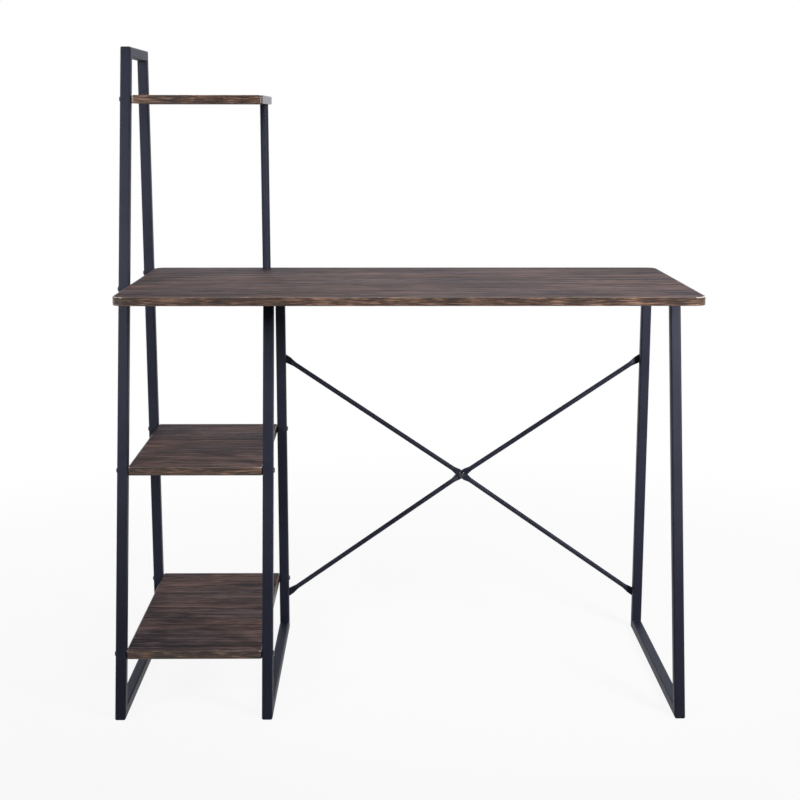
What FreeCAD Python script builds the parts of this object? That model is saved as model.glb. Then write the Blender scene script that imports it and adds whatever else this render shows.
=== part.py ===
import FreeCAD, Part
import math
import os

os.makedirs("parts", exist_ok=True)
V = FreeCAD.Vector

# All lengths in mm. X to the right along the desk, Y from the front edge to the back, Z up from the floor.

# Boards
desktop_width = 1000.0
desktop_depth = 500.0
desktop_top = 750.0
board = 15.0
desktop_corner = 20.0
shelf_corner = 5.0
band = 2.0
band_arris = 1.2
shelf_length = 240.0
top_shelf_length = 238.0
middle_shelf_top = 433.5
bottom_shelf_top = 118.0

# Square steel tube of the three end frames
tube = 19.0
wall = 1.2
tube_corner = 3.0
frame_height = 1171.0
rear_overhang = 17.0
top_shelf_drop = 86.0
crown_depth = 200.0
right_frame_inset = 10.0

# Bolts, screws and the inserts they run into
bolt_dia = 6.0
bolt_hole = 6.6
head_dia = 12.0
head_height = 2.4
head_rim = 0.8
head_shoulder = 10.0
head_bevel = 1.8
head_flat = 7.0
socket_across = 4.0
socket_depth = 1.5
insert_dia = 8.0
insert_length = 12.0
rail_insert_length = 10.0
pocket_spare = 1.0
rail_screw_margin = 60.0
csk_depth = 3.0

# Cross brace: round tubes squashed flat at the ends and where they cross, each bent slightly upwards there
brace_dia = 9.5
brace_wall = 1.2
brace_flat = 3.0
brace_flat_width = 13.8
brace_tab = 18.0
brace_neck = 14.0
brace_cross_flat = 10.0
brace_cross_neck = 12.0
brace_upper = 574.0
brace_lower = 70.0
brace_cross_lift = 5.2
rivet_dia = 9.0
rivet_length = 12.0
nut_across = 10.0
nut_height = 5.0

# Round support rod between the desktop and the top shelf
rod_dia = 16.0
rod_wall = 1.2
rod_from_end = 14.5
plug_length = 15.0

# Derived places
floor_depth = desktop_depth - rear_overhang
top_shelf_top = frame_height - top_shelf_drop
lean = (floor_depth - crown_depth) / frame_height
slant = math.sqrt(1 + lean * lean)
x_desk = head_height + tube - (head_height + tube + desktop_width) / 2
x_left = x_desk - tube
x_middle = x_desk + shelf_length
x_right = x_desk + desktop_width - right_frame_inset - tube
y_front = -desktop_depth / 2
y_back = y_front + floor_depth
y_rear_leg = y_back - tube / 2
short_height = desktop_top - board


def front_face(z):
    return y_front + lean * z


def front_leg_mid(z):
    return front_face(z) + tube * slant / 2


def cylinder(radius, length, start, direction):
    return Part.makeCylinder(radius, length, start, direction)


def move_to(shape, start, direction):
    out = shape.copy()
    turn = FreeCAD.Rotation(V(0, 0, 1), direction)
    out.Placement = FreeCAD.Placement(start, turn)
    return out


def rounded_face(length, depth, radius, centre):
    edges = []
    ends = []
    for sx, sy, a in ((1, 1, 0), (-1, 1, 90), (-1, -1, 180), (1, -1, 270)):
        c = centre + V(sx * (length / 2 - radius), sy * (depth / 2 - radius), 0)
        turns = [math.radians(a + k) for k in (0, 45, 90)]
        p = [c + V(radius * math.cos(t), radius * math.sin(t), 0) for t in turns]
        edges.append(Part.Arc(p[0], p[1], p[2]).toShape())
        ends.append((p[0], p[2]))
    for i in range(len(ends)):
        edges.append(Part.makeLine(ends[i][1], ends[(i + 1) % len(ends)][0]))
    return Part.Face(Part.Wire(Part.__sortEdges__(edges)))


def long_tube(start, end):
    # Rounded square tube along a line in a plane of constant X, centred on that line
    outer = rounded_face(tube, tube, tube_corner, V(0, 0, 0))
    inner = rounded_face(tube - 2 * wall, tube - 2 * wall, tube_corner - wall, V(0, 0, 0))
    reach = end - start
    solid = outer.extrude(V(0, 0, reach.Length)).cut(inner.extrude(V(0, 0, reach.Length)))
    angle = math.degrees(math.atan2(-reach.y, reach.z))
    solid.Placement = FreeCAD.Placement(start, FreeCAD.Rotation(V(1, 0, 0), angle))
    return solid


def frame_tubes(x, height):
    # Four mitred tubes: each is a long tube cut by the prism between the outer and the inner outline
    outer = [V(0, front_face(0), 0), V(0, front_face(height), height), V(0, y_back, height), V(0, y_back, 0)]
    half = (math.atan(lean) + math.pi / 2) / 2
    low = tube / math.tan((math.pi / 2 - math.atan(lean)) / 2)
    high = tube / math.tan(half)
    inner = [V(0, outer[0].y + low, tube), V(0, outer[1].y + high, height - tube),
             V(0, y_back - tube, height - tube), V(0, y_back - tube, tube)]
    tubes = {}
    for i, name in enumerate(("front", "crown", "rear", "foot")):
        j = (i + 1) % 4
        quad = [outer[i], outer[j], inner[j], inner[i]]
        pts = [p + V(x, 0, 0) for p in quad]
        prism = Part.Face(Part.makePolygon(pts + [pts[0]])).extrude(V(tube, 0, 0))
        along = (outer[j] - outer[i]).normalize()
        inward = V(0, along.z, -along.y)
        if inward.dot(inner[i] - outer[i]) < 0:
            inward = inward * -1
        mid = V(x + tube / 2, 0, 0) + inward * (tube / 2)
        start = outer[i] + mid - along * tube
        end = outer[j] + mid + along * tube
        tubes[name] = long_tube(start, end).common(prism)
    return tubes


def hexagon(across, height):
    r = across / math.sqrt(3)
    pts = [V(r * math.cos(math.radians(60 * k)), r * math.sin(math.radians(60 * k)), 0) for k in range(7)]
    return Part.Face(Part.makePolygon(pts)).extrude(V(0, 0, height))


def button_bolt(length):
    # Low domed head below z = 0, shank above it
    outline = [V(0, 0, 0), V(head_dia / 2, 0, 0), V(head_dia / 2, 0, -head_rim),
               V(head_shoulder / 2, 0, -head_bevel), V(head_flat / 2, 0, -head_height),
               V(0, 0, -head_height), V(0, 0, 0)]
    head = Part.Face(Part.makePolygon(outline)).revolve(V(0, 0, 0), V(0, 0, 1), 360)
    socket = hexagon(socket_across, socket_depth)
    socket.translate(V(0, 0, -head_height))
    return head.cut(socket).fuse(cylinder(bolt_dia / 2, length, V(0, 0, 0), V(0, 0, 1))).removeSplitter()


def csk_screw(length):
    # Flat-topped conical head that starts at z = 0 and goes with the shank into +Z
    head = Part.makeCone(head_dia / 2, bolt_dia / 2, csk_depth, V(0, 0, 0), V(0, 0, 1))
    shank = cylinder(bolt_dia / 2, length, V(0, 0, 0), V(0, 0, 1))
    return head.fuse(shank).cut(hexagon(socket_across, socket_depth)).removeSplitter()


def ring(outer_dia, length, start, direction):
    outer = cylinder(outer_dia / 2, length, start, direction)
    return outer.cut(cylinder(bolt_dia / 2, length, start, direction))


def save(name, shapes):
    shape = Part.makeCompound(shapes) if len(shapes) > 1 else shapes[0]
    shape.exportStep("parts/" + name + ".step")


# Boards with their glued edge band
def make_board(x, length, y0, y1, top, corner):
    centre = V(x + length / 2, (y0 + y1) / 2, top - board)
    outer = rounded_face(length, y1 - y0, corner, centre).extrude(V(0, 0, board))
    core = rounded_face(length - 2 * band, y1 - y0 - 2 * band, corner - band, centre).extrude(V(0, 0, board))
    arris = [e for e in outer.Edges if e.BoundBox.ZLength < band_arris / 2]
    outer = outer.makeFillet(band_arris, arris)
    return core, outer.cut(core)


def board_mid(top):
    return top - board / 2


def shelf_span(length, top):
    return x_desk, length, front_face(board_mid(top)), y_back, top, shelf_corner


boards = {}
bands = {}
spans = {
    "desktop": (x_desk, desktop_width, y_front, desktop_depth / 2, desktop_top, desktop_corner),
    "top_shelf": shelf_span(top_shelf_length, top_shelf_top),
    "middle_shelf": shelf_span(shelf_length, middle_shelf_top),
    "bottom_shelf": shelf_span(shelf_length, bottom_shelf_top),
}
for name, (x, length, y0, y1, top, corner) in spans.items():
    boards[name], bands[name] = make_board(x, length, y0, y1, top, corner)

# Frames
frames = {
    "left_frame": frame_tubes(x_left, frame_height),
    "middle_frame": frame_tubes(x_middle, short_height),
    "right_frame": frame_tubes(x_right, short_height),
}

# Bolts through the posts into the board ends
edge_bolts = {}
inserts = {}


def bolt_board(name, frame, outside, into, key):
    # outside: X of the post face under the bolt head; into: +1 when the bolt points to +X
    top = spans[name][4]
    z = board_mid(top)
    direction = V(into, 0, 0)
    bolts = []
    for leg, y in (("front", front_leg_mid(z)), ("rear", y_rear_leg)):
        start = V(outside, y, z)
        edge = start + direction * tube
        bolts.append(move_to(button_bolt(tube + band + insert_length), start, direction))
        frames[frame][leg] = frames[frame][leg].cut(cylinder(bolt_hole / 2, tube, start, direction))
        bore = cylinder(insert_dia / 2, band + insert_length + pocket_spare, edge, direction)
        bands[name] = bands[name].cut(bore)
        boards[name] = boards[name].cut(bore)
        insert = ring(insert_dia, insert_length, edge + direction * band, direction)
        inserts.setdefault(name, []).append(insert)
    edge_bolts[key] = bolts


bolt_board("top_shelf", "left_frame", x_left, 1, "top_shelf_bolts")
bolt_board("desktop", "left_frame", x_left, 1, "desktop_edge_bolts")
bolt_board("middle_shelf", "left_frame", x_left, 1, "middle_shelf_bolts_left")
bolt_board("bottom_shelf", "left_frame", x_left, 1, "bottom_shelf_bolts_left")
bolt_board("middle_shelf", "middle_frame", x_middle + tube, -1, "middle_shelf_bolts_right")
bolt_board("bottom_shelf", "middle_frame", x_middle + tube, -1, "bottom_shelf_bolts_right")

# Screws up through the top rails of the two short frames into the desktop
rail_screws = {}
rail_inserts = []
for frame, x in (("middle_frame", x_middle), ("right_frame", x_right)):
    screws = []
    for y in (front_face(short_height) + rail_screw_margin, y_back - rail_screw_margin):
        start = V(x + tube / 2, y, short_height - tube)
        up = V(0, 0, 1)
        screws.append(move_to(button_bolt(tube + rail_insert_length), start, up))
        frames[frame]["crown"] = frames[frame]["crown"].cut(cylinder(bolt_hole / 2, tube, start, up))
        seat = start + up * tube
        pocket = cylinder(insert_dia / 2, rail_insert_length + pocket_spare, seat, up)
        boards["desktop"] = boards["desktop"].cut(pocket)
        rail_inserts.append(ring(insert_dia, rail_insert_length, seat, up))
    rail_screws[frame] = screws

# Support rod with a threaded plug in each end and a countersunk screw through each board
rod_x = x_desk + top_shelf_length - rod_from_end
rod_foot = V(rod_x, y_rear_leg, desktop_top)
rod_length = top_shelf_top - board - desktop_top
up = V(0, 0, 1)
rod = cylinder(rod_dia / 2, rod_length, rod_foot, up)
rod = rod.cut(cylinder(rod_dia / 2 - rod_wall, rod_length, rod_foot, up))
plugs = []
rod_screws = []
for name, face, direction in (("desktop", desktop_top - board, up), ("top_shelf", top_shelf_top, up * -1)):
    start = V(rod_x, y_rear_leg, face)
    rod_screws.append(move_to(csk_screw(board + plug_length - pocket_spare), start, direction))
    cone = Part.makeCone(head_dia / 2, bolt_dia / 2, csk_depth, start, direction)
    hole = cylinder(bolt_hole / 2, board, start, direction)
    boards[name] = boards[name].cut(cone).cut(hole)
    plugs.append(ring(rod_dia - 2 * rod_wall, plug_length, start + direction * board, direction))


# Cross brace
def section(at, width, thick, shift, round_):
    # Wire of four edges in the plane x = at: four arcs of a circle, or four lines of a rectangle
    if round_:
        r = width / 2
        turns = [math.pi / 4 * (k + 1) for k in range(8)]
        pts = [V(at, r * math.cos(a), shift + r * math.sin(a)) for a in turns]
        arcs = [Part.Arc(pts[i], pts[i + 1], pts[(i + 2) % 8]).toShape() for i in range(0, 8, 2)]
        return Part.Wire(arcs)
    a, b = width / 2, thick / 2
    pts = [V(at, a, shift + b), V(at, -a, shift + b), V(at, -a, shift - b), V(at, a, shift - b)]
    return Part.makePolygon(pts + [pts[0]])


def neck(x0, round0, shift0, x1, round1, shift1):
    wires = []
    for x, is_round, shift in ((x0, round0, shift0), (x1, round1, shift1)):
        wires.append(section(x, brace_dia if is_round else brace_flat_width, brace_flat, shift, is_round))
    return Part.makeLoft(wires, True, True)


def brace_half(outer_end, middle, shift):
    # Local X runs from the end bolt to the crossing, local Z is the thickness of the flats
    reach = middle - outer_end
    hole_end = brace_flat_width / 2
    tube_from = brace_tab + brace_neck
    flat_from = reach.Length - brace_cross_flat
    tube_to = flat_from - brace_cross_neck
    tube_length = tube_to - tube_from
    seat = V(0, 0, -brace_flat / 2)
    end_disc = cylinder(hole_end, brace_flat, seat, V(0, 0, 1))
    tab = Part.makeBox(brace_tab, brace_flat_width, brace_flat, seat - V(0, hole_end, 0))
    end_neck = neck(brace_tab, False, 0, tube_from, True, 0)
    body = cylinder(brace_dia / 2, tube_length, V(tube_from, 0, 0), V(1, 0, 0))
    bore = cylinder(brace_dia / 2 - brace_wall, tube_length, V(tube_from, 0, 0), V(1, 0, 0))
    cross_neck = neck(tube_to, True, 0, flat_from, False, shift)
    flat_corner = seat + V(flat_from, -hole_end, shift)
    cross_flat = Part.makeBox(brace_cross_flat, brace_flat_width, brace_flat, flat_corner)
    half = end_disc.multiFuse([tab, end_neck, body.cut(bore), cross_neck, cross_flat])
    along = reach.normalize()
    across = V(0, 1, 0).cross(along)
    turn = FreeCAD.Matrix(along.x, across.x, 0, outer_end.x, along.y, across.y, 1, outer_end.y,
                          along.z, across.z, 0, outer_end.z, 0, 0, 0, 1)
    half.Placement = FreeCAD.Placement(turn)
    return half


y_tab = y_back + brace_flat / 2
leg_left = x_middle + tube / 2
leg_right = x_right + tube / 2
cross = V((leg_left + leg_right) / 2, y_tab, (brace_upper + brace_lower) / 2 + brace_cross_lift)


def brace_rod(z_left, z_right, shift):
    # Two straight halves, rounded where they meet at the slight bend under the centre bolt
    ends = (V(leg_left, y_tab, z_left), V(leg_right, y_tab, z_right))
    through = V(0, 1, 0)
    bend_seat = cross + through * (shift - brace_flat / 2)
    bend = cylinder(brace_flat_width / 2, brace_flat, bend_seat, through)
    solid = bend.multiFuse([brace_half(end, cross, shift) for end in ends]).removeSplitter()
    for at in (*ends, cross):
        solid = solid.cut(cylinder(bolt_hole / 2, brace_dia, at - through * (brace_dia / 2), through))
    return solid


front_brace = brace_rod(brace_upper, brace_lower, -brace_flat / 2)
rear_brace = brace_rod(brace_lower, brace_upper, brace_flat / 2)

centre_bolt_length = 2 * brace_flat + nut_height + pocket_spare
centre_bolt = move_to(button_bolt(centre_bolt_length), cross - V(0, brace_flat, 0), V(0, 1, 0))
nut = hexagon(nut_across, nut_height).cut(cylinder(bolt_dia / 2, nut_height, V(0, 0, 0), V(0, 0, 1)))
centre_nut = move_to(nut, cross + V(0, brace_flat, 0), V(0, 1, 0))

brace_bolts = []
rivet_nuts = []
for frame, x in (("middle_frame", leg_left), ("right_frame", leg_right)):
    for z in (brace_upper, brace_lower):
        outside = V(x, y_back + brace_flat, z)
        brace_bolts.append(move_to(button_bolt(brace_flat + rivet_length), outside, V(0, -1, 0)))
        seat = V(x, y_back, z)
        hole = cylinder(rivet_dia / 2, 2 * wall, seat, V(0, -1, 0))
        frames[frame]["rear"] = frames[frame]["rear"].cut(hole)
        rivet_nuts.append(ring(rivet_dia, rivet_length, seat, V(0, -1, 0)))

# Write one file for each named piece
tube_names = {
    "left_frame": ("front_post", "top_bar", "rear_post", "foot_rail"),
    "middle_frame": ("front_leg", "top_rail", "rear_leg", "foot_rail"),
    "right_frame": ("front_leg", "top_rail", "rear_leg", "foot_rail"),
}
for frame, tubes in frames.items():
    for name, solid in zip(tube_names[frame], tubes.values()):
        save(frame + "_" + name, [solid])
for name in spans:
    save(name + "_board", [boards[name]])
    save(name + "_edge_band", [bands[name]])
for name, bolts in edge_bolts.items():
    save(name, bolts)
for name, group in inserts.items():
    save(name + "_edge_inserts", group)
save("desktop_screws_middle", rail_screws["middle_frame"])
save("desktop_screws_right", rail_screws["right_frame"])
save("desktop_underside_inserts", rail_inserts)
save("support_rod", [rod])
save("support_rod_plugs", plugs)
save("support_rod_screws", rod_screws)
save("brace_rod_front", [front_brace])
save("brace_rod_rear", [rear_brace])
save("brace_centre_bolt", [centre_bolt])
save("brace_centre_nut", [centre_nut])
save("brace_end_bolts", brace_bolts)
save("brace_rivet_nuts", rivet_nuts)
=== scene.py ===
# %% [markdown]
# # A steel and board computer desk, dressed in Blender
# The desk was built first as a solid model, one node for each real piece, and this lesson
# gives it its looks: finishes for the tubes and boards, and finely made small parts. The
# model is loaded first and stays fixed, so every new piece can be placed by its numbers.
# Everything is in metres: x runs to the right, y to the back, z up from the floor.

# %% Load the solid model
import math

import bmesh
import bpy
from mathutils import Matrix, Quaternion, Vector


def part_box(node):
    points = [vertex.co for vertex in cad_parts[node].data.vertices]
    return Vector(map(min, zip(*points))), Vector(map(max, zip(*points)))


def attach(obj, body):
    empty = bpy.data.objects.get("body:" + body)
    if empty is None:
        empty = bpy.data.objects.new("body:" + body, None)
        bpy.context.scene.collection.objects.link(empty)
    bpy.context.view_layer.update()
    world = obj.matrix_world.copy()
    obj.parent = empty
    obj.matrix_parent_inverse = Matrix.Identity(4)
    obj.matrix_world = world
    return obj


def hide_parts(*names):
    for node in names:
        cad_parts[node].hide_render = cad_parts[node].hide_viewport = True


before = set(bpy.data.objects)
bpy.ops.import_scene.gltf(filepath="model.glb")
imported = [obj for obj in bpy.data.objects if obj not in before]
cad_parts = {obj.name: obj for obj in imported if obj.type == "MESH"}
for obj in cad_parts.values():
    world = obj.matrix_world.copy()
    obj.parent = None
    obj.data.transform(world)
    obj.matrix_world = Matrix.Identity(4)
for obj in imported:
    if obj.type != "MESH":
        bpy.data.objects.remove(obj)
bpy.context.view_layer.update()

# %% [markdown]
# ## Colours
# Paint and paper are judged on a screen, so each colour is written as a screen hex
# value. Blender mixes light in linear numbers, and one small function turns one into the
# other. Mixing the hex numbers as they stand would make every dark finish too bright.

# %% A screen colour made linear
def linear(screen):
    parts = [int(screen[i:i + 2], 16) / 255 for i in (1, 3, 5)]
    light = [p / 12.92 if p <= 0.04045 else ((p + 0.055) / 1.055) ** 2.4 for p in parts]
    return (*light, 1.0)


print("mid grey", [round(c, 3) for c in linear("#808080")])

# %% [markdown]
# ## Nodes
# Every finish below is a small network of nodes. They could be wired by hand in the shader
# editor. In a script, one helper that adds a node, sets it and links it keeps each finish
# short enough to read from its coordinates down to its surface.

# %% Add one node with its settings and links
def add(tree, kind, inputs=None, stops=None, **settings):
    made = tree.nodes.new("ShaderNode" + kind)
    for name, value in settings.items():
        setattr(made, name, value)
    for socket, value in (inputs or {}).items():
        if isinstance(value, bpy.types.NodeSocket):
            tree.links.new(value, made.inputs[socket])
        else:
            made.inputs[socket].default_value = value
    if stops:
        ramp = made.color_ramp
        while len(ramp.elements) < len(stops):
            ramp.elements.new(1.0)
        for element, (place, screen) in zip(ramp.elements, stops):
            element.position = place
            element.color = linear(screen)
    return made


print("helper", add.__name__)

# %% [markdown]
# A new material comes with a shader already in it. It could be kept and changed, but an
# empty network shows every node of a finish in one place, from first to last.

# %% Start a finish with an empty network
def new_finish(name):
    finish = bpy.data.materials.new(name)
    finish.use_nodes = True
    finish.node_tree.nodes.clear()
    return finish, finish.node_tree


print("helper", new_finish.__name__)

# %% [markdown]
# ## The camera
# The photograph was taken from a little over desk height, almost square to the front and
# far enough away that the side frames hardly spread. A long lens at that distance gives
# the same narrow look down on to the shelves. The numbers were found by matching the
# corners of the tubes and boards.

# %% Place the camera
CAMERA_PLACE = (-0.0288, -2.7085, 1.0456)
LENS = 66.45
LOOK_DOWN = 0.18912
LOOK_RIGHT = 0.00937
ROLL = 0.00074
SEES_AS_FAR_AS = 100.0

camera_data = bpy.data.cameras.new("camera")
camera_data.lens = LENS
camera = bpy.data.objects.new("camera", camera_data)
camera.location = CAMERA_PLACE
camera.rotation_euler = (math.pi / 2 - LOOK_DOWN, -ROLL, -LOOK_RIGHT)
camera_data.clip_end = SEES_AS_FAR_AS
bpy.context.scene.collection.objects.link(camera)
bpy.context.scene.camera = camera
print("lens", LENS, "mm, field", round(math.degrees(camera_data.angle), 1), "degrees")

# %% [markdown]
# ## The room
# The desk stands in a white studio. The room's glow could be one even white, but black
# steel would then look flat. Here the wall behind is white and the side behind the camera
# is darker, as in a real studio, so the tubes show light and dark faces. Both are a touch
# cool, because the sheen on the real coat is bluer than the coat itself. The glow gives
# only a little of the light, and the lamps give the rest. The camera itself sees plain
# white everywhere.

# %% The room's glow
DIM_SIDE = "#5f626b"
BRIGHT_SIDE = "#f0f3ff"
DIM_UP_TO = -0.6
BRIGHT_FROM = 0.7

world = bpy.data.worlds.new("studio")
world.use_nodes = True
bpy.context.scene.world = world
room = world.node_tree
room.nodes.clear()
way = add(room, "TexCoord")
ways = add(room, "SeparateXYZ", {0: way.outputs["Generated"]})
depth = add(room, "MapRange", {"Value": ways.outputs["Y"], "From Min": DIM_UP_TO,
                               "From Max": BRIGHT_FROM})
glow = add(room, "ValToRGB", {0: depth.outputs[0]},
           stops=[(0.0, DIM_SIDE), (1.0, BRIGHT_SIDE)])
print("glow from", DIM_SIDE, "to", BRIGHT_SIDE)

# %% [markdown]
# Rays that light the desk get a small share of that glow, rays that are mirrored in it get
# the whole glow, and the camera's own rays get plain white. Three rooms could be mixed by
# hand in three renders. The Light Path node tells the rays apart in one.

# %% Share the glow between the rays
FILL = 0.036

rays = add(room, "LightPath")
clear = add(room, "Math", {0: rays.outputs["Is Camera Ray"],
                           1: rays.outputs["Is Transmission Ray"]}, operation="MAXIMUM")
lit = add(room, "Background", {"Color": glow.outputs[0], "Strength": FILL})
mirrored = add(room, "Background", {"Color": glow.outputs[0], "Strength": 1.0})
seen = add(room, "Background", {"Color": linear("#ffffff"), "Strength": 1.0})
glossy = add(room, "MixShader", {0: rays.outputs["Is Glossy Ray"], 1: lit.outputs[0],
                                 2: mirrored.outputs[0]})
both = add(room, "MixShader", {0: clear.outputs[0], 1: glossy.outputs[0],
                               2: seen.outputs[0]})
add(room, "OutputWorld", {"Surface": both.outputs[0]})
print("room", len(room.nodes), "nodes, fill", FILL)

# %% [markdown]
# ## The lamps
# Large soft boxes light a product without hard shadows. Bare boxes would light the legs
# evenly from top to floor, but on the real desk the front faces are brightest near the top
# and almost black at the feet, more so on the right. A photographer gets that with a
# honeycomb grid, which keeps a box's light in a narrow beam, so four gridded boxes aim at
# the upper part of the end frames. Open boxes fill in from the front, from above, from the
# sides and from behind. Each lamp has its place, its aim, its size, its grid and its power.

# %% Choose the soft boxes
GRID_NARROW = 60
GRID_WIDE = 78
OPEN = 180
MIDDLE = (0.0, 0.0, 0.75)
LAMPS = {
    "right_low_grid": ((1.5, -1.7, 1.25), (0.49, -0.10, 0.85), (0.5, 0.5), GRID_NARROW, 4.6),
    "right_high_grid": ((1.3, -1.1, 1.6), (0.49, -0.10, 0.80), (0.5, 0.7), GRID_WIDE, 4.8),
    "left_low_grid": ((-1.5, -1.7, 1.35), (-0.45, -0.05, 0.90), (0.5, 0.5), GRID_NARROW, 3.5),
    "left_high_grid": ((-1.3, -0.9, 1.7), (-0.45, -0.05, 0.85), (0.5, 0.7), GRID_WIDE, 0.9),
    "left_box": ((-1.7, -1.6, 2.3), MIDDLE, (0.8, 0.8), OPEN, 1.0),
    "front_box": ((-0.2, -2.4, 2.9), MIDDLE, (1.6, 1.0), OPEN, 2.0),
    "top_box": ((0.0, 0.3, 2.6), MIDDLE, (1.6, 0.8), OPEN, 1.0),
    "left_side_box": ((-2.6, 0.2, 1.9), MIDDLE, (0.8, 1.8), OPEN, 4.5),
    "right_side_box": ((2.7, 0.4, 1.9), MIDDLE, (0.8, 1.8), OPEN, 6.0),
    "back_box": ((0.2, 3.0, 2.4), MIDDLE, (2.2, 1.4), OPEN, 17.0),
}
print("power in all", round(sum(choice[-1] for choice in LAMPS.values()), 1), "W")

# %% [markdown]
# A lamp shines along its own minus z, so each one is turned until that axis points at its
# aim. The turn could be typed as three angles. Worked out from the two points, it stays
# right when a lamp is moved.

# %% Hang the soft boxes
for name, (place, aim, size, grid, power) in LAMPS.items():
    lamp_data = bpy.data.lights.new(name, "AREA")
    lamp_data.shape = "RECTANGLE"
    lamp_data.size, lamp_data.size_y = size
    lamp_data.spread = math.radians(grid)
    lamp_data.energy = power
    lamp = bpy.data.objects.new(name, lamp_data)
    lamp.location = place
    lamp.rotation_euler = (Vector(aim) - Vector(place)).to_track_quat("-Z", "Y").to_euler()
    bpy.context.scene.collection.objects.link(lamp)
print("lamps", sorted(LAMPS))

# %% [markdown]
# ## The floor
# A white paper sweep under the desk. It could curve up behind, as in a studio, but with a
# white room around it one large flat sheet looks the same. It lies a hair under the feet,
# so that the two never flicker through each other.

# %% Lay the floor
FLOOR_SIZE = 60.0
FLOOR_DROP = 0.0004

bpy.ops.object.select_all(action="DESELECT")
bpy.ops.mesh.primitive_plane_add(size=FLOOR_SIZE, location=(0, 0, -FLOOR_DROP))
floor = bpy.context.object
floor.name = "floor"
print("floor", FLOOR_SIZE, "m wide")

# %% [markdown]
# A plain white floor would print grey where the lamps reach it less. So most of what the
# camera sees of it is an even white glow, and the rest is real white paint that still takes
# the desk's soft shadow. Away from the desk the glow grows to all of it.

# %% How much of the paper glows
GLOW_SHARE = 0.91
SHADOW_NEAR = 0.7
SHADOW_FAR = 1.9

paper, tree = new_finish("matt_white_paper_sweep")
rays = add(tree, "LightPath")
direct = add(tree, "Math", {0: rays.outputs["Is Camera Ray"],
                            1: rays.outputs["Is Glossy Ray"]}, operation="MAXIMUM")
shown = add(tree, "Math", {0: direct.outputs[0],
                           1: rays.outputs["Is Transmission Ray"]}, operation="MAXIMUM")
spot = add(tree, "TexCoord")
away = add(tree, "VectorMath", {0: spot.outputs["Object"]}, operation="LENGTH")
fade = add(tree, "MapRange", {"Value": away.outputs["Value"], "From Min": SHADOW_NEAR,
                              "From Max": SHADOW_FAR, "To Min": GLOW_SHARE, "To Max": 1.0})
share = add(tree, "Math", {0: shown.outputs[0], 1: fade.outputs[0]}, operation="MULTIPLY")
print("glow", GLOW_SHARE, "up to", SHADOW_NEAR, "m from the middle, all from", SHADOW_FAR, "m")

# %% [markdown]
# What the paper throws back at the desk comes from a duller paint, so that the legs stay
# dark near the floor. A darker floor would do that too, but the camera would see it.

# %% Paint the paper
paint = add(tree, "BsdfDiffuse", {"Color": linear("#f4f4f4")})
dull = add(tree, "BsdfDiffuse", {"Color": linear("#5c5c5c")})
matt = add(tree, "MixShader", {0: rays.outputs["Is Diffuse Ray"], 1: paint.outputs[0],
                               2: dull.outputs[0]})
shine = add(tree, "Emission", {"Color": linear("#ffffff"), "Strength": 1.0})
mixed = add(tree, "MixShader", {0: share.outputs[0], 1: matt.outputs[0],
                                2: shine.outputs[0]})
add(tree, "OutputMaterial", {"Surface": mixed.outputs[0]})
floor.data.materials.append(paper)
print("paper", len(tree.nodes), "nodes")

# %% [markdown]
# ## Powder-coated steel
# The tubes are mild steel, dusted with blue-black powder and baked. The coat is a satin
# plastic skin with a very fine orange-peel texture, so it reads as a dark body colour
# under a soft, slightly broken sheen. It is a coating, so it is not metallic. The peel
# could be modelled in the tubes, but a bump a tenth of a millimetre deep shows as well.

# %% The powder coat
PEEL = 0.0016
PEEL_DEPTH = 0.00012
HANDLING = 0.09

powder, tree = new_finish("satin_blue_black_powder_coat")
place = add(tree, "TexCoord")
peel = add(tree, "TexNoise", {"Vector": place.outputs["Object"], "Scale": 1 / PEEL,
                              "Detail": 2.0, "Roughness": 0.5})
patches = add(tree, "TexNoise", {"Vector": place.outputs["Object"], "Scale": 1 / HANDLING,
                                 "Detail": 3.0, "Roughness": 0.55})
body = add(tree, "ValToRGB", {0: patches.outputs[0]},
           stops=[(0.3, "#202230"), (0.7, "#272a39")])
rough = add(tree, "MapRange", {"Value": patches.outputs[0], "To Min": 0.46, "To Max": 0.56})
skin = add(tree, "Bump", {"Height": peel.outputs[0], "Strength": 0.25,
                          "Distance": PEEL_DEPTH})
coat = add(tree, "BsdfPrincipled", {"Base Color": body.outputs[0],
                                    "Roughness": rough.outputs[0],
                                    "Specular IOR Level": 0.17,
                                    "Normal": skin.outputs[0]})
add(tree, "OutputMaterial", {"Surface": coat.outputs[0]})
print("coat", len(tree.nodes), "nodes, peel", PEEL * 1000, "mm")

# %% [markdown]
# ## Wood-print laminate
# The boards are particle board faced with printed, lightly embossed melamine paper: a dark
# greyed oak print. One stretched noise would give streaks of one size, which looks like
# brushed metal. Oak has grain of several sizes at once, so four noises are laid over each
# other, from smoky clouds down to pores. All are long in x, the way the print runs, and one
# slow noise bends them a little, because no tree is quite straight.

# %% The way the grain runs
SWAY_LENGTH = 0.25
SWAY_BREADTH = 0.12
SWAY = 0.004


def per_metre(along, across):
    return (1 / along, 1 / across, 1 / across)


laminate, tree = new_finish("embossed_oak_print_melamine")
place = add(tree, "TexCoord")
slow = add(tree, "Mapping", {"Vector": place.outputs["Object"],
                             "Scale": per_metre(SWAY_LENGTH, SWAY_BREADTH)})
sway = add(tree, "TexNoise", {"Vector": slow.outputs[0], "Scale": 1.0, "Detail": 1.0})
drift = add(tree, "VectorMath", {0: sway.outputs["Color"], 1: (0.0, SWAY, SWAY)},
            operation="MULTIPLY")
grain = add(tree, "VectorMath", {0: place.outputs["Object"], 1: drift.outputs[0]},
            operation="ADD")
print("grain bends by up to", SWAY * 1000, "mm")

# %% [markdown]
# Each layer has its length and breadth in metres, the detail and roughness of its noise, and
# its share of the tone. Real pores are under a millimetre broad and would fade to an even
# grey at this distance, so the finest layers are drawn as coarse as they need to show.

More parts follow.
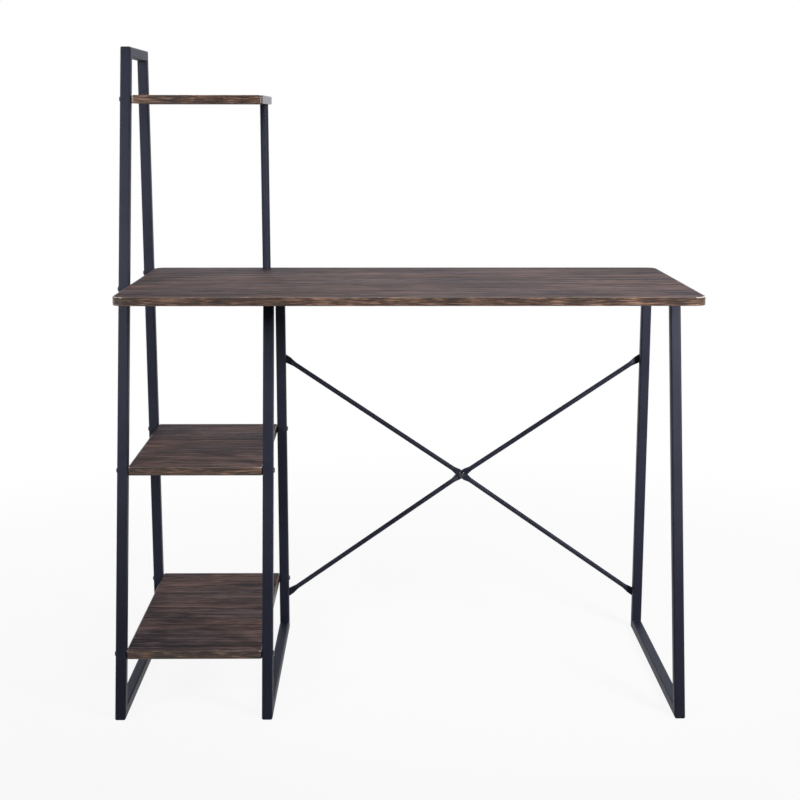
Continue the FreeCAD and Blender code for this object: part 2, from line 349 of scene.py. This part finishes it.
# %% Four layers of print
PRINT_LAYERS = {
    "cloud": (0.160, 0.1100, 1.0, 0.50, 0.22),
    "broad": (0.200, 0.0190, 1.0, 0.50, 0.27),
    "streak": (0.150, 0.0064, 3.0, 0.66, 0.50),
    "pore": (0.036, 0.0026, 2.0, 0.65, 0.60),
}

layers = {}
tone = None
for name, (along, across, detail, roughness, share) in PRINT_LAYERS.items():
    drawn = add(tree, "Mapping", {"Vector": grain.outputs[0],
                                  "Scale": per_metre(along, across)})
    layers[name] = add(tree, "TexNoise", {"Vector": drawn.outputs[0], "Scale": 1.0,
                                          "Detail": detail, "Roughness": roughness})
    so_far = tone.outputs[0] if tone else 0.0
    tone = add(tree, "Math", {0: layers[name].outputs[0], 1: share, 2: so_far},
               operation="MULTIPLY_ADD")
print("layers", sorted(layers))

# %% [markdown]
# ## Printed joints
# The print shows planks side by side, with a thin dark joint between two of them. A joint is
# a straight line at one y of one board. It is under a millimetre wide on the real board, and
# is drawn wider here, because the camera looks along the shelves and would lose it. It could
# be cut into the board, but it is only ink, so a node compares each point with that line.

# %% Draw the joints
JOINTS = (("middle_shelf_board", 0.085), ("bottom_shelf_board", 0.012),
          ("bottom_shelf_board", -0.199))
JOINT_WIDTH = 0.0060
BOARD_REACH = 0.012

spot = add(tree, "SeparateXYZ", {0: place.outputs["Object"]})
joints = None
for board_name, across in JOINTS:
    level = (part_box(board_name)[0][2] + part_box(board_name)[1][2]) / 2
    here = add(tree, "Math", {0: spot.outputs["Z"], 1: level, 2: BOARD_REACH},
               operation="COMPARE")
    line = add(tree, "Math", {0: spot.outputs["Y"], 1: across, 2: JOINT_WIDTH / 2},
               operation="COMPARE")
    one = add(tree, "Math", {0: here.outputs[0], 1: line.outputs[0]}, operation="MULTIPLY")
    if joints:
        one = add(tree, "Math", {0: joints.outputs[0], 1: one.outputs[0]},
                  operation="MAXIMUM")
    joints = one
print("joints on", sorted({board_name for board_name, across in JOINTS}))

# %% [markdown]
# One even dark line would look drawn with a pen. The ink of a joint is fainter where the
# streaks are pale, as ink is that has worn, so the layer of streaks sets how dark it is.

# %% Wear the ink of the joints
JOINT_DARK = 0.20
JOINT_WORN = 0.08
STREAK_DARK = 0.35
STREAK_PALE = 0.65

worn = add(tree, "MapRange", {"Value": layers["streak"].outputs[0],
                              "From Min": STREAK_DARK, "From Max": STREAK_PALE,
                              "To Min": JOINT_DARK, "To Max": JOINT_WORN})
groove = add(tree, "Math", {0: joints.outputs[0], 1: worn.outputs[0]}, operation="MULTIPLY")
inked = add(tree, "Math", {0: tone.outputs[0], 1: groove.outputs[0]}, operation="SUBTRACT")
print("ink from", JOINT_WORN, "to", JOINT_DARK, "darker than the print")

# %% [markdown]
# Most sockets have a name of their own. The Mix node has one pair called A and B for plain
# numbers and another for colours, so these are called by their numbers, which get names.

# %% Tell the Mix node's sockets apart
FACTOR = 0
NUMBER_A, NUMBER_B = 2, 3
COLOUR_A, COLOUR_B = 6, 7
MIXED_COLOUR = 2

print("numbers", (NUMBER_A, NUMBER_B), "colours", (COLOUR_A, COLOUR_B))

# %% [markdown]
# ## From tone to colour
# A ramp turns the tone into the browns of the print. Browner and smokier areas drift over
# the boards, so a slow tint is multiplied over the result. The pores are pressed into the
# paper, and a shallow bump from the same layer keeps the shine off their rims.

# %% Colour the laminate
STAIN_LENGTH = 0.30
STAIN_BREADTH = 0.09
EMBOSSING = 0.0003

wood = add(tree, "ValToRGB", {0: inked.outputs[0]},
           stops=[(0.62, "#161012"), (0.72, "#382c2b"), (0.80, "#50403d"),
                  (0.91, "#806b63")])
wide = add(tree, "Mapping", {"Vector": grain.outputs[0],
                             "Scale": per_metre(STAIN_LENGTH, STAIN_BREADTH)})
stain = add(tree, "TexNoise", {"Vector": wide.outputs[0], "Scale": 1.0, "Detail": 2.0})
smoke = add(tree, "ValToRGB", {0: stain.outputs[0]},
            stops=[(0.38, "#fff1ea"), (0.62, "#e8e9f6")])
printed = add(tree, "Mix", {FACTOR: 1.0, COLOUR_A: wood.outputs[0],
                            COLOUR_B: smoke.outputs[0]},
              data_type="RGBA", blend_type="MULTIPLY")
emboss = add(tree, "Bump", {"Height": layers["pore"].outputs[0], "Strength": 0.35,
                            "Distance": EMBOSSING})
face = add(tree, "BsdfPrincipled", {"Base Color": printed.outputs[MIXED_COLOUR],
                                    "Roughness": 0.70, "Specular IOR Level": 0.12,
                                    "Normal": emboss.outputs[0]})
add(tree, "OutputMaterial", {"Surface": face.outputs[0]})
print("laminate", len(tree.nodes), "nodes")

# %% [markdown]
# ## Edge banding
# A strip of printed film, glued round each board with the grain along the strip. The strip
# turns the corners, so one straight direction would cut across the grain at the ends.
# Its length is read from x on the long sides and from y on the short ones. It could be
# unwrapped by hand, but reading the face's own direction does it for all four boards.

# %% Lay the print along the strip
TURNED_SIDEWAYS = 0.7

band, tree = new_finish("printed_edge_banding")
place = add(tree, "TexCoord")
parts = add(tree, "SeparateXYZ", {0: place.outputs["Object"]})
facing = add(tree, "NewGeometry")
turned = add(tree, "SeparateXYZ", {0: facing.outputs["Normal"]})
sideways = add(tree, "Math", {0: turned.outputs["X"]}, operation="ABSOLUTE")
at_end = add(tree, "Math", {0: sideways.outputs[0], 1: TURNED_SIDEWAYS},
             operation="GREATER_THAN")
run = add(tree, "Mix", {FACTOR: at_end.outputs[0], NUMBER_A: parts.outputs["X"],
                        NUMBER_B: parts.outputs["Y"]})
strip = add(tree, "CombineXYZ", {"X": run.outputs[0], "Y": parts.outputs["Z"]})
print("print turns where a face looks more than", TURNED_SIDEWAYS, "sideways")

# %% [markdown]
# The figure of the strip begins with faint year rings. They could be a wave texture, but its
# bands are all alike. A ring here is a line of equal height in a slow noise, so the sine of
# that noise draws many, each a little different.

# %% Draw the year rings
RING_LENGTH = 0.130
RING_BREADTH = 0.011
RINGS = 42.0
RING_SHARE = 0.05

wide = add(tree, "Mapping", {"Vector": strip.outputs[0],
                             "Scale": per_metre(RING_LENGTH, RING_BREADTH)})
figure = add(tree, "TexNoise", {"Vector": wide.outputs[0], "Scale": 1.0, "Detail": 1.0,
                                "Roughness": 0.4})
turns = add(tree, "Math", {0: figure.outputs[0], 1: RINGS}, operation="MULTIPLY")
ring = add(tree, "Math", {0: turns.outputs[0]}, operation="SINE")
tone = add(tree, "Math", {0: ring.outputs[0], 1: RING_SHARE}, operation="MULTIPLY")
print("rings", RINGS, "turns of the sine, share", RING_SHARE)

# %% [markdown]
# The strip's print is bolder and browner than that of the faces, with short strokes and tan
# lights. Two layers of noise, made as those of the faces are, lie over the rings, and a ramp
# of its own turns the tone into browns.

# %% Lay two layers of print over the rings
BAND_LAYERS = {
    "cloud": (0.110, 0.0400, 2.0, 0.50, 0.36),
    "streak": (0.034, 0.0018, 3.0, 0.70, 1.10),
}

for name, (along, across, detail, roughness, share) in BAND_LAYERS.items():
    drawn = add(tree, "Mapping", {"Vector": strip.outputs[0],
                                  "Scale": per_metre(along, across)})
    layer = add(tree, "TexNoise", {"Vector": drawn.outputs[0], "Scale": 1.0,
                                   "Detail": detail, "Roughness": roughness})
    tone = add(tree, "Math", {0: layer.outputs[0], 1: share, 2: tone.outputs[0]},
               operation="MULTIPLY_ADD")
wood = add(tree, "ValToRGB", {0: tone.outputs[0]},
           stops=[(0.54, "#180e09"), (0.68, "#37241b"), (0.77, "#503a2e"),
                  (0.89, "#8f6e5b")])
print("band layers", sorted(BAND_LAYERS))

# %% [markdown]
# The strip's upper edge was rounded with a cutter, and its film is smoother there. The thin
# light line that the lamps leave along that rounded rim is painted in as a slightly paler
# colour, a painted highlight. Where the strip turns a corner of the board, the lamps' bright
# glint on the rounded corner is painted in as a near-white colour, a painted glint. Each could
# be a separate thin piece, but it is only a change of surface, so it is mixed in by the slope:
# the rim is where the face turns upwards, and a corner is where it looks along x and along y
# at once.

# %% Find the rim and the corners
# how strongly the painted rim highlight and the painted corner glint show
RIM_HIGHLIGHT_SHARE = 0.22
CORNER_GLINT_SHARE = 0.70
CORNER_TURN = 0.10

rim = add(tree, "ValToRGB", {0: turned.outputs["Z"]},
          stops=[(0.15, "#000000"), (0.40, "#ffffff"), (0.85, "#ffffff"),
                 (0.97, "#000000")])
# painted highlight: a paler colour along the rim, in place of the light line a lamp leaves on the
# rounded edge
rim_highlight = add(tree, "Math", {0: rim.outputs[0], 1: RIM_HIGHLIGHT_SHARE}, operation="MULTIPLY")
both_ways = add(tree, "Math", {0: turned.outputs["X"], 1: turned.outputs["Y"]},
                operation="MULTIPLY")
bend = add(tree, "Math", {0: both_ways.outputs[0]}, operation="ABSOLUTE")
corner = add(tree, "MapRange", {"Value": bend.outputs[0], "From Max": CORNER_TURN,
                                "To Max": CORNER_GLINT_SHARE})
# painted glint: a near-white colour on the rim where the strip turns a corner, in place of the
# lamps' glint on the rounded corner
corner_glint = add(tree, "Math", {0: corner.outputs[0], 1: rim.outputs[0]}, operation="MULTIPLY")
print("rim shows", RIM_HIGHLIGHT_SHARE, "and corners", CORNER_GLINT_SHARE)

# %% [markdown]
# The print comes first, then the painted highlight of the rim, and the painted glint of the
# corners over both. The film of the strip is smoother than the boards' faces, and smoothest on
# the rim.

# %% Colour the strip
# colours of the painted rim highlight and the painted corner glint
RIM_HIGHLIGHT_COLOUR = "#b3a093"
# the near-white of the painted corner glint
CORNER_GLINT_COLOUR = "#e2d8cf"

# the painted rim highlight is mixed over the print
line_colour = add(tree, "Mix", {FACTOR: rim_highlight.outputs[0], COLOUR_A: wood.outputs[0],
                                COLOUR_B: linear(RIM_HIGHLIGHT_COLOUR)}, data_type="RGBA")
# the painted corner glint is mixed over both
strip_colour = add(tree, "Mix", {FACTOR: corner_glint.outputs[0],
                                 COLOUR_A: line_colour.outputs[MIXED_COLOUR],
                                 COLOUR_B: linear(CORNER_GLINT_COLOUR)}, data_type="RGBA")
rough = add(tree, "MapRange", {"Value": rim.outputs[0], "To Min": 0.28, "To Max": 0.13})
face = add(tree, "BsdfPrincipled", {"Base Color": strip_colour.outputs[MIXED_COLOUR],
                                    "Roughness": rough.outputs[0],
                                    "Specular IOR Level": 0.5})
add(tree, "OutputMaterial", {"Surface": face.outputs[0]})
print("band", len(tree.nodes), "nodes")

# %% [markdown]
# ## Plated fasteners
# Bolts, screws and threaded inserts are steel with a dark zinc plate, tumbled in bulk, so
# their shine is slightly clouded. A head reads almost black, and only the crown of its dome
# catches a lamp. The clouding is finer on the real plate and is drawn a millimetre wide.

# %% The plate
CLOUDING = 0.0011

plate, tree = new_finish("dark_zinc_plate")
place = add(tree, "TexCoord")
tumbled = add(tree, "TexNoise", {"Vector": place.outputs["Object"], "Scale": 1 / CLOUDING,
                                 "Detail": 2.0})
rough = add(tree, "MapRange", {"Value": tumbled.outputs[0], "To Min": 0.08, "To Max": 0.18})
face = add(tree, "BsdfPrincipled", {"Base Color": linear("#4a494e"), "Metallic": 1.0,
                                    "Roughness": rough.outputs[0]})
add(tree, "OutputMaterial", {"Surface": face.outputs[0]})
print("plate", len(tree.nodes), "nodes, clouding", CLOUDING * 1000, "mm")

# %% [markdown]
# ## Picking by place
# Small parts are modelled below by the same steps as by hand. By hand, faces are clicked in
# the window. A script could list them by number, but the numbers change with every step, so
# it picks them by where they are and which way they look.

# %% Pick faces
def pick_faces(piece, wanted):
    mesh = bmesh.from_edit_mesh(piece.data)
    bpy.ops.mesh.select_mode(type="FACE")
    bpy.ops.mesh.select_all(action="DESELECT")
    for part in mesh.faces:
        part.select_set(wanted(part.calc_center_median(), part.normal))
    bmesh.update_edit_mesh(piece.data)


print("helper", pick_faces.__name__)

# %% [markdown]
# A loop that is to be bridged or closed is open: each of its edges has one face or none.
# That, and its place, is enough to find it.

# %% Pick open edges
def pick_open_edges(piece, wanted):
    mesh = bmesh.from_edit_mesh(piece.data)
    bpy.ops.mesh.select_mode(type="EDGE")
    bpy.ops.mesh.select_all(action="DESELECT")
    for part in mesh.edges:
        middle = (part.verts[0].co + part.verts[1].co) / 2
        part.select_set(len(part.link_faces) < 2 and wanted(middle))
    bmesh.update_edit_mesh(piece.data)


print("helper", pick_open_edges.__name__)

# %% [markdown]
# ## Button-head bolts
# The boards hang on M6 bolts with a low dome on a thin flange and a hexagon socket for an
# Allen key. The head is cold-formed: a disc squeezed up into a dome while a punch sinks the
# socket. It could be cut from a ball, but a disc drawn upwards ring by ring is the way of
# the real one. The rings are pairs of a radius and a height. One bolt is modelled on its
# seat, and all the others are copies.

# %% Draw up the dome
HEAD_RINGS = ((0.0060, 0.0004), (0.0056, 0.0007), (0.0047, 0.0008), (0.0045, 0.0014),
              (0.0040, 0.0020), (0.0032, 0.0024))
HEAD_RADIUS, RIM = HEAD_RINGS[0]
HEAD_SIDES = 24
LEVEL = 0.9

bpy.ops.object.select_all(action="DESELECT")
bpy.ops.mesh.primitive_cylinder_add(vertices=HEAD_SIDES, radius=HEAD_RADIUS, depth=RIM,
                                    location=(0, 0, RIM / 2))
bolt = bpy.context.object
bpy.ops.object.transform_apply(location=True, rotation=True, scale=True)
bpy.ops.object.mode_set(mode="EDIT")
pick_faces(bolt, lambda centre, normal: normal.z > LEVEL)
for (last, low), (radius, height) in zip(HEAD_RINGS, HEAD_RINGS[1:]):
    bpy.ops.mesh.extrude_region_move(TRANSFORM_OT_translate={"value": (0, 0, height - low)})
    share = radius / last
    bpy.ops.transform.resize(value=(share, share, 1), center_override=(0, 0, height))
bolt.update_from_editmode()
print("dome", len(bolt.data.polygons), "faces before the socket")

# %% [markdown]
# The socket could be cut out with a second solid, but that leaves a ragged rim. Here the flat
# top is opened, a six-sided loop is laid in it and bridged to the round one, and the loop is
# then pushed down and closed.

# %% Sink the socket
HEAD_HEIGHT = HEAD_RINGS[-1][1]
SOCKET_ACROSS = 0.0040
SOCKET_DEPTH = 0.0015
SPARE = 0.00001

bpy.ops.mesh.delete(type="ONLY_FACE")
bpy.ops.mesh.primitive_circle_add(vertices=6, radius=SOCKET_ACROSS / math.sqrt(3),
                                  fill_type="NOTHING", location=(0, 0, HEAD_HEIGHT))
pick_open_edges(bolt, lambda middle: middle.z > HEAD_HEIGHT - SPARE)
bpy.ops.mesh.bridge_edge_loops()
pick_open_edges(bolt, lambda middle: middle.z > HEAD_HEIGHT - SPARE)
bpy.ops.mesh.extrude_region_move(TRANSFORM_OT_translate={"value": (0, 0, -SOCKET_DEPTH)})
bpy.ops.mesh.edge_face_add()
bolt.update_from_editmode()
print("head", len(bolt.data.polygons), "faces with the socket")

# %% [markdown]
# The shank is drawn down out of the head's own underside, so that the bolt is one closed
# skin. Its thread is inside the board and is left off, and its end is tapered, as a real one
# is to find its hole.

# %% Draw the shank
SHANK_RADIUS = 0.0030
SHANK_LENGTH = 0.0200
TIP = 0.0008
TIP_SHARE = 0.8
SHARP_EDGE = math.radians(35)

pick_faces(bolt, lambda centre, normal: normal.z < -LEVEL and centre.z < SPARE)
bpy.ops.mesh.inset(thickness=HEAD_RADIUS - SHANK_RADIUS)
bpy.ops.mesh.extrude_region_move(TRANSFORM_OT_translate={"value": (0, 0, TIP - SHANK_LENGTH)})
bpy.ops.mesh.extrude_region_move(TRANSFORM_OT_translate={"value": (0, 0, -TIP)})
bpy.ops.transform.resize(value=(TIP_SHARE, TIP_SHARE, 1), center_override=(0, 0, -SHANK_LENGTH))
bpy.ops.mesh.select_all(action="SELECT")
bpy.ops.mesh.normals_make_consistent(inside=False)
bpy.ops.object.mode_set(mode="OBJECT")
bpy.ops.object.shade_smooth_by_angle(angle=SHARP_EDGE)
print("bolt", len(bolt.data.polygons), "faces", [round(v * 1000, 2) for v in bolt.dimensions], "mm")

# %% [markdown]
# A linked copy would share its mesh with the first bolt, and all would change length
# together. A full copy has a mesh of its own.

# %% Copy a piece
def copy_of(master):
    bpy.ops.object.select_all(action="DESELECT")
    master.select_set(True)
    bpy.context.view_layer.objects.active = master
    bpy.ops.object.duplicate(linked=False)
    return bpy.context.object


print("helper", copy_of.__name__)

# %% [markdown]
# The copies that belong together become one object, as in a bag of bolts with one part
# number. It rides with the desk's only body and takes its finish.

# %% Join copies into one piece
def joined(copies, name, finish, slot_name):
    bpy.ops.object.select_all(action="DESELECT")
    for one in copies:
        one.select_set(True)
    bpy.context.view_layer.objects.active = copies[0]
    if len(copies) > 1:
        bpy.ops.object.join()
    whole = bpy.context.object
    whole.name = name
    whole.data.materials.clear()
    whole.data.materials.append(finish)
    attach(whole, "root")
    return whole


print("helper", joined.__name__)

# %% [markdown]
# Every bolt group of the solid model is one node. The places of its bolts could be typed
# again, but its box already says where they are: a head's radius in from each end, or in the
# middle where the box is only one head wide.

# %% Read the places of the bolts from a box
ONE_HEAD = 2.5 * HEAD_RADIUS


def spread(low, high):
    if high - low < ONE_HEAD:
        return [(low + high) / 2]
    return [low + HEAD_RADIUS, high - HEAD_RADIUS]


print("heads in a narrow and a wide box", [len(spread(0.0, n * HEAD_RADIUS)) for n in (2, 4)])

# %% [markdown]
# Each copy gets the shank length that its box asks for and a turn of its own, because nobody
# lines up the sockets. Only the shank's end is moved to make it longer, so the taper and the
# head keep their size. Scaling the whole bolt would be shorter, but it would stretch both.

# %% Fit one bolt to its hole
SOCKET_TURN = 0.7
SHANK_END = -0.6 * SHANK_LENGTH


def fitted_bolt(spot, facing, longer, number):
    one = copy_of(bolt)
    bpy.ops.object.mode_set(mode="EDIT")
    pick_faces(one, lambda centre, normal: centre.z < SHANK_END)
    bpy.ops.transform.translate(value=(0, 0, -longer))
    bpy.ops.object.mode_set(mode="OBJECT")
    turn = Quaternion((0, 0, 1), SOCKET_TURN * number)
    one.rotation_mode = "QUATERNION"
    one.rotation_quaternion = Vector(facing).to_track_quat("Z", "Y") @ turn
    one.location = spot
    bpy.ops.object.transform_apply(location=True, rotation=True, scale=True)
    return one


print("helper", fitted_bolt.__name__)

# %% [markdown]
# A head faces away from what it clamps: sideways on the posts, down under the rails, back on
# the ends of the brace and forward at its crossing. A box could be searched for the wide
# end of its bolts, but the ten facings are soon written down.

# %% Choose which way the heads face
HEADS_FACE = {
    "top_shelf_bolts": (-1, 0, 0),
    "desktop_edge_bolts": (-1, 0, 0),
    "middle_shelf_bolts_left": (-1, 0, 0),
    "middle_shelf_bolts_right": (1, 0, 0),
    "bottom_shelf_bolts_left": (-1, 0, 0),
    "bottom_shelf_bolts_right": (1, 0, 0),
    "desktop_screws_middle": (0, 0, -1),
    "desktop_screws_right": (0, 0, -1),
    "brace_end_bolts": (0, 1, 0),
    "brace_centre_bolt": (0, -1, 0),
}
print("bolt groups", len(HEADS_FACE))

# %% [markdown]
# Along its facing a bolt sits with its head's top on the box's end. Across it, the box gives
# one or two places each way, and a bolt goes in every combination of them.

# %% Put bolts in place of the plain ones
for node_name, facing in HEADS_FACE.items():
    low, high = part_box(node_name)
    axis = [abs(step) for step in facing].index(1)
    seat = low[axis] + HEAD_HEIGHT if facing[axis] < 0 else high[axis] - HEAD_HEIGHT
    longer = high[axis] - low[axis] - HEAD_HEIGHT - SHANK_LENGTH
    choices = [[seat] if k == axis else spread(low[k], high[k]) for k in range(3)]
    spots = [(x, y, z) for x in choices[0] for y in choices[1] for z in choices[2]]
    copies = [fitted_bolt(spot, facing, longer, number) for number, spot in enumerate(spots)]
    whole = joined(copies, node_name + "_domed", plate, "zinc_steel")
    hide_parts(node_name)
    print(whole.name, len(copies), "bolts, shank", round((SHANK_LENGTH + longer) * 1000, 1))
bpy.data.objects.remove(bolt)

# %% [markdown]
# ## Weld beads
# Each end frame is four tubes cut at an angle and welded where they meet. The welds on the
# outer faces are ground flat before the coat goes on, and the bead across each inner corner
# is left. It looks like a row of overlapping coins. It could be a bumpy tube, but drawing
# it out ring by ring, wide and narrow in turn, gives real ripples.

# %% Start a bead with its first ring
BEAD_RADIUS = 0.0022
BEAD_LENGTH = 0.0150
BEAD_SIDES = 12
TAPER = 0.55

bpy.ops.object.select_all(action="DESELECT")
bpy.ops.mesh.primitive_circle_add(vertices=BEAD_SIDES, radius=TAPER * BEAD_RADIUS, fill_type="NGON",
                                  rotation=(0, math.pi / 2, 0),
                                  location=(-BEAD_LENGTH / 2, 0, 0))
bead = bpy.context.object
bpy.ops.object.transform_apply(location=True, rotation=True, scale=True)
print("first ring", BEAD_SIDES, "sides")

# %% [markdown]
# A ripple is one wide ring and one narrow one, and the last ring is as small as the first,
# where the arc was struck and broken off.

# %% Draw out the ripples
RIPPLES = 10
WAIST = 0.82

bpy.ops.object.mode_set(mode="EDIT")
bpy.ops.mesh.select_all(action="SELECT")
step = BEAD_LENGTH / (2 * RIPPLES)
size = TAPER
for ring_number in range(1, 2 * RIPPLES + 1):
    wanted = 1.0 if ring_number % 2 else WAIST
    if ring_number == 2 * RIPPLES:
        wanted = TAPER
    bpy.ops.mesh.extrude_region_move(TRANSFORM_OT_translate={"value": (step, 0, 0)})
    middle = (ring_number * step - BEAD_LENGTH / 2, 0, 0)
    bpy.ops.transform.resize(value=(1, wanted / size, wanted / size), center_override=middle)
    size = wanted
bpy.ops.mesh.select_all(action="SELECT")
bpy.ops.mesh.normals_make_consistent(inside=False)
bpy.ops.object.mode_set(mode="OBJECT")
bpy.ops.object.shade_smooth()
print("bead", len(bead.data.polygons), "faces", [round(v * 1000, 2) for v in bead.dimensions])

# %% [markdown]
# An inner corner is where the inner faces of two tubes meet. Its place could be read off the
# screen. Worked out from the boxes of the tubes and the lean of the front leg, it is exact:
# a leg that leans makes one corner wider than square and the other narrower.

# %% Lay a bead in each inner corner
FRAMES = {"left_frame": "top_bar", "middle_frame": "top_rail", "right_frame": "top_rail"}

for frame_name, crown in FRAMES.items():
    foot_low, foot_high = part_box(frame_name + "_foot_rail")
    top_low, top_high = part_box(frame_name + "_" + crown)
    tube = foot_high[0] - foot_low[0]
    across = (foot_low[0] + foot_high[0]) / 2
    lean = math.atan((top_low[1] - foot_low[1]) / top_high[2])
    front_low = foot_low[1] + tube / math.tan((math.pi / 2 - lean) / 2)
    front_high = top_low[1] + tube / math.tan((math.pi / 2 + lean) / 2)
    rear = foot_high[1] - tube
    corners = ((front_low, tube), (rear, tube), (front_high, top_high[2] - tube),
               (rear, top_high[2] - tube))
    copies = []
    for y, z in corners:
        one = copy_of(bead)
        one.location = (across, y, z)
        bpy.ops.object.transform_apply(location=True, rotation=True, scale=True)
        copies.append(one)
    whole = joined(copies, frame_name + "_weld_beads", powder, "black_steel")
    print(whole.name, "at", [(round(y, 4), round(z, 4)) for y, z in corners])
bpy.data.objects.remove(bead)

# %% [markdown]
# ## Each piece gets its finish
# The solid model came with a plain colour on each node, named for what the piece is made of.
# Each could be given its finish by hand, but the name is enough to choose it.

# %% Give each node its finish
FINISHES = {"black_steel": powder, "wood_laminate": laminate, "edge_band": band,
            "zinc_steel": plate}
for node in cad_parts.values():
    slot_name = node.data.materials[0].name.split(".")[0]
    node.data.materials[0] = FINISHES[slot_name]
print("finished", len(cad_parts), "nodes with", sorted(FINISHES))

# %% [markdown]
# ## How the picture is taken
# The Standard view shows a colour on screen as it was written. A film look would be softer
# in the lights, but it would change every colour chosen above.

# %% Finish
bpy.context.scene.view_settings.view_transform = "Standard"
